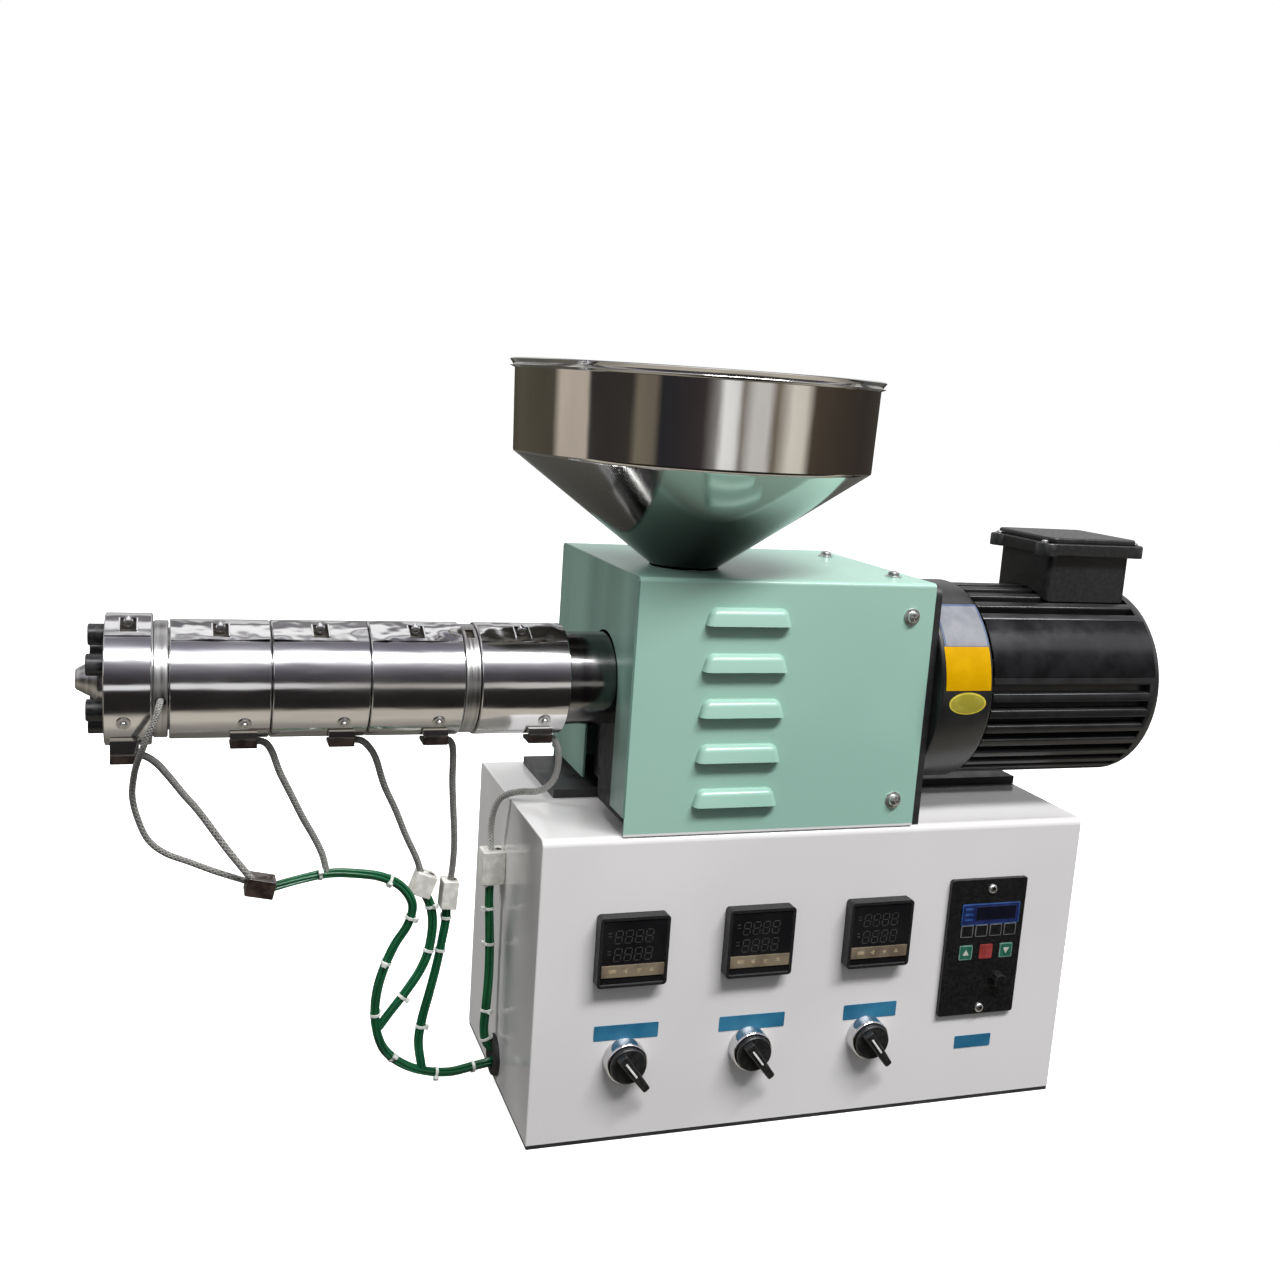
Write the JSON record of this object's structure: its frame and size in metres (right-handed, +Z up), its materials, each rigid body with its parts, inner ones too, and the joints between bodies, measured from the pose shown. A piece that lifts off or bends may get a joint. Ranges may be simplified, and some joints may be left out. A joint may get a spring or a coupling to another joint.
{
  "type": "filament extruder",
  "caption": "Desktop single-screw extruder with a heated barrel, steel hopper, louvred guard, geared motor and a control cabinet with temperature controllers.",
  "frame": {"origin": "on the floor under the barrel's axis, at the middle of the cabinet's length", "axes": "+X along the barrel from the nozzle to the motor, +Y from the front panel to the back, +Z up"},
  "size_m": [0.7312, 0.249, 0.5115],
  "materials": {
    "cabinet_white": "gloss white powder coat",
    "base_grey": "dark grey sheet",
    "bed_grey": "dark grey plate",
    "plate_black": "black satin plate",
    "guard_green": "mint green satin powder coat",
    "housing_iron": "dark painted casting",
    "barrel_steel": "turned steel",
    "screw_steel": "ground steel",
    "block_brown": "dark brown moulded block",
    "heater_steel": "polished stainless sheet",
    "die_steel": "turned steel",
    "bolt_black": "black oxide steel",
    "hopper_steel": "polished stainless sheet",
    "gearbox_black": "black semi-gloss enamel",
    "motor_black": "black semi-gloss enamel",
    "box_black": "black moulded box",
    "controller_black": "black moulded bezel",
    "panel_black": "black moulded panel",
    "bezel_chrome": "chromed ring",
    "knob_black": "black moulded lever",
    "grommet_rubber": "black rubber",
    "ceramic_brown": "brown glazed ceramic",
    "ceramic_white": "white ceramic",
    "lead_sleeve": "woven glass sleeving",
    "loom_green": "green insulated wires"
  },
  "bodies": {
    "root": {"cabinet": "cabinet_white", "cabinet_base": "base_grey", "bed_plate": "bed_grey", "motor_plate": "plate_black", "guard": "guard_green", "guard_end": "guard_green", "feed_housing": "housing_iron", "bearing_housing": "housing_iron", "screw": "screw_steel", "barrel": "barrel_steel", "barrel_strap": "heater_steel", "band_heater_1": "heater_steel", "band_heater_2": "heater_steel", "band_heater_3": "heater_steel", "band_heater_4": "heater_steel", "heater_blocks": "block_brown", "die_head": "die_steel", "die_heater": "heater_steel", "die_bolts": "bolt_black", "nozzle": "die_steel", "hopper": "hopper_steel", "gearbox": "gearbox_black", "stator": "motor_black", "fan_cowl": "motor_black", "terminal_box": "box_black", "terminal_lid": "box_black", "controller_1": "controller_black", "controller_2": "controller_black", "controller_3": "controller_black", "selector_bezel_1": "bezel_chrome", "selector_bezel_2": "bezel_chrome", "selector_bezel_3": "bezel_chrome", "speed_panel": "panel_black", "grommet": "grommet_rubber", "connector_1": "ceramic_brown", "connector_2": "ceramic_white", "connector_3": "ceramic_white", "connector_4": "ceramic_white", "die_lead": "lead_sleeve", "sensor_lead": "lead_sleeve", "band_1_lead": "lead_sleeve", "band_2_lead": "lead_sleeve", "band_3_lead": "lead_sleeve", "band_4_lead": "lead_sleeve", "loom_1": "loom_green", "loom_2": "loom_green", "loom_3": "loom_green", "loom_4": "loom_green"},
    "selector_knob_1": {"selector_knob_1": "knob_black"},
    "selector_knob_2": {"selector_knob_2": "knob_black"},
    "selector_knob_3": {"selector_knob_3": "knob_black"}
  },
  "joints": [
    {"name": "selector_1_turn", "type": "hinge", "parent": "root", "child": "selector_knob_1", "pos_m": [-0.138, -0.067, 0.059], "axis": [0, -1, 0], "range_deg": [0, 90]},
    {"name": "selector_2_turn", "type": "hinge", "parent": "root", "child": "selector_knob_2", "pos_m": [-0.048, -0.067, 0.059], "axis": [0, -1, 0], "range_deg": [0, 90]},
    {"name": "selector_3_turn", "type": "hinge", "parent": "root", "child": "selector_knob_3", "pos_m": [0.042, -0.067, 0.059], "axis": [0, -1, 0], "range_deg": [0, 90]}
  ]
}
